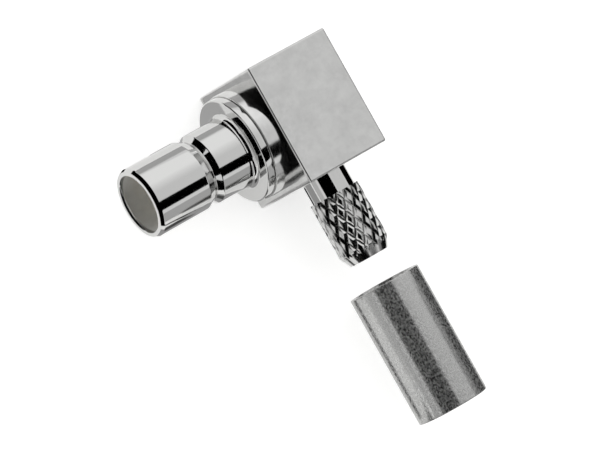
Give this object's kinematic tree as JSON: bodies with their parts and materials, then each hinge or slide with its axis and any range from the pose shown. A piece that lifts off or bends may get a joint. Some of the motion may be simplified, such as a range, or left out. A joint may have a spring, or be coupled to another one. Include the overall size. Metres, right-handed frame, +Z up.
{
  "type": "smb connector",
  "caption": "Right-angle coaxial crimp connector: push-fit coupling barrel with a snap groove on a square body block, knurled crimp stem and a loose crimp ferrule that slides over it.",
  "frame": {"origin": "centre of the body block's underside, the face that it lies on", "axes": "+X along the coupling barrel towards its mouth, +Y along the crimp stem towards the cable, +Z up out of the face that it lies on"},
  "size_m": [0.0119, 0.0195, 0.0063],
  "materials": {
    "satin_nickel": "nickel-plated brass, milled and tumbled to a fine satin",
    "bright_nickel": "nickel-plated brass, turned and bright",
    "gold_plate": "gold-plated contact brass",
    "ptfe": "turned PTFE, waxy white"
  },
  "bodies": {
    "connector": {"body_block": "satin_nickel", "coupling_barrel": "bright_nickel", "front_insulator": "ptfe", "centre_contact": "gold_plate", "rear_insulator": "ptfe", "rear_cap": "satin_nickel", "crimp_stem": "bright_nickel"},
    "ferrule": {"crimp_ferrule": "satin_nickel"}
  },
  "joints": [
    {"name": "ferrule_slide", "type": "slide", "parent": "connector", "child": "ferrule", "axis": [0, -1, 0], "range_m": [0, 0.00601]}
  ]
}
